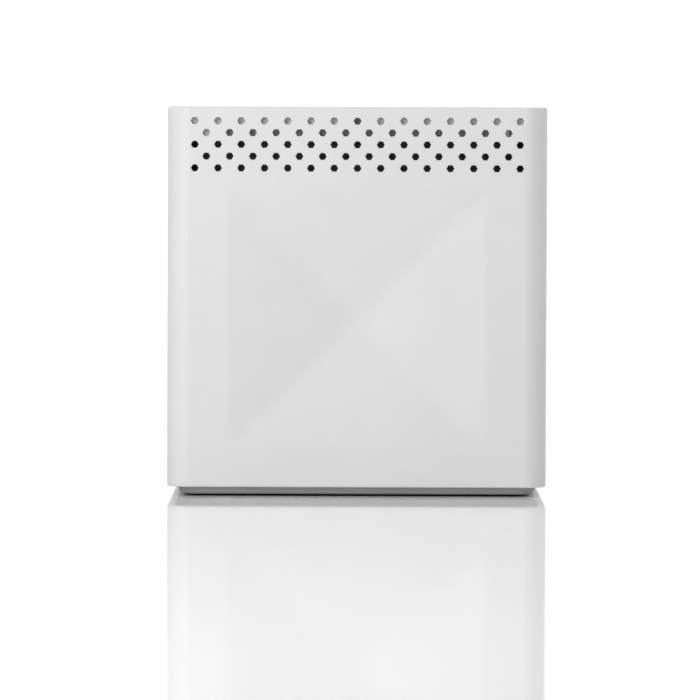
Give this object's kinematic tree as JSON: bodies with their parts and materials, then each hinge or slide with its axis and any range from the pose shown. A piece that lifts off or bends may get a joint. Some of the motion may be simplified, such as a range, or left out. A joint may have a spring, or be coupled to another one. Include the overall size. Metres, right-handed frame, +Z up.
{
  "type": "wireless router",
  "caption": "Cube-shaped wireless router with a vented sleeve, faceted faces, a grey plinth, rear ports, a SIM tray and top pairing button.",
  "frame": {"origin": "on the table under the centre of the casing, in the plane of the feet's undersides", "axes": "+Z up, the plain faceted front faces -Y, the ports face +Y and the SIM tray is on the -X side"},
  "size_m": [0.095, 0.095, 0.0975],
  "materials": {
    "shell_white": "fine satin moulding",
    "button_white": "satin",
    "base_grey": "fine matt moulding",
    "frame_black": "matt moulding",
    "panel_grey": "fine matt moulding",
    "foot_rubber": "matt",
    "label_silver": "satin printed film, left blank",
    "screw_steel": "zinc plated",
    "screw_black": "black oxide",
    "jack_steel": "tin plated sheet",
    "jack_plastic": "glass-filled moulding",
    "contact_gold": "gold flash",
    "light_pipe": "clear polycarbonate",
    "lamp_yellow": "phosphor under clear resin",
    "switch_metal": "stamped cover",
    "switch_plastic": "moulded",
    "reset_red": "moulded",
    "board_green": "solder mask over glass laminate",
    "board_black": "black solder mask over glass laminate",
    "chip_black": "epoxy package",
    "pad_blue": "soft silicone",
    "sink_aluminium": "extruded",
    "can_steel": "tin plated sheet",
    "capacitor_sleeve": "printed sleeve, left blank",
    "ferrite_grey": "sintered and coated",
    "plug_gold": "gold flash",
    "aerial_laminate": "copper tracks under black mask",
    "lead_black": "smooth jacket",
    "lead_grey": "smooth jacket",
    "ribbon_white": "polyester film",
    "connector_ivory": "moulded",
    "card_gold": "contact pads over plastic",
    "tray_white": "satin moulding",
    "pin_white": "nylon",
    "usb_blue": "moulded"
  },
  "bodies": {
    "router": {"outer_casing": "shell_white", "top_cover": "shell_white", "light_guide": "light_pipe", "base_plinth": "base_grey", "rubber_feet": "foot_rubber", "base_screws": "screw_black", "rating_label": "label_silver", "inner_frame": "frame_black", "rear_panel": "panel_grey", "power_switch": "switch_plastic", "reset_switch": "switch_metal", "wan_jack_shell": "jack_steel", "wan_jack_housing": "jack_plastic", "wan_jack_contacts": "contact_gold", "lan_jack_shell": "jack_steel", "lan_jack_housing": "jack_plastic", "lan_jack_contacts": "contact_gold", "jack_lights": "light_pipe", "usb_port_shell": "jack_steel", "usb_port_tongue": "usb_blue", "power_jack": "jack_plastic", "power_jack_pin": "contact_gold", "sim_socket": "can_steel", "main_board": "board_green", "board_screws": "screw_steel", "processor_chip": "chip_black", "thermal_pad": "pad_blue", "heatsink": "sink_aluminium", "heatsink_pins": "pin_white", "memory_chips": "chip_black", "modem_shield": "can_steel", "wifi_shield": "can_steel", "ethernet_transformers": "chip_black", "capacitors": "capacitor_sleeve", "inductors": "ferrite_grey", "coax_plugs": "plug_gold", "cellular_antenna_side": "aerial_laminate", "cellular_antenna_front": "aerial_laminate", "wifi_antenna_side": "aerial_laminate", "wifi_antenna_front": "aerial_laminate", "coax_cellular_side": "lead_black", "coax_cellular_front": "lead_black", "coax_wifi_side": "lead_grey", "coax_wifi_front": "lead_grey", "flat_cable": "ribbon_white", "flat_cable_connectors": "connector_ivory", "indicator_board": "board_black", "indicator_lamps": "lamp_yellow", "indicator_screws": "screw_steel", "pairing_switch": "switch_metal"},
    "power_button": {"power_button": "button_white"},
    "pairing_button": {"pairing_button": "button_white", "pairing_plunger": "pin_white"},
    "reset_button": {"reset_button": "reset_red"},
    "sim_tray": {"sim_tray": "tray_white", "sim_card": "card_gold"}
  },
  "joints": [
    {"name": "power_press", "type": "slide", "parent": "router", "child": "power_button", "axis": [0, -1, 0], "range_m": [0, 0.0015], "stiffness_N_per_m": 600},
    {"name": "pairing_press", "type": "slide", "parent": "router", "child": "pairing_button", "axis": [0, 0, -1], "range_m": [0, 0.0006], "stiffness_N_per_m": 1500},
    {"name": "reset_press", "type": "slide", "parent": "router", "child": "reset_button", "axis": [0, -1, 0], "range_m": [0, 0.0004], "stiffness_N_per_m": 1500},
    {"name": "sim_tray_slide", "type": "slide", "parent": "router", "child": "sim_tray", "axis": [-1, 0, 0], "range_m": [0, 0.024]}
  ]
}
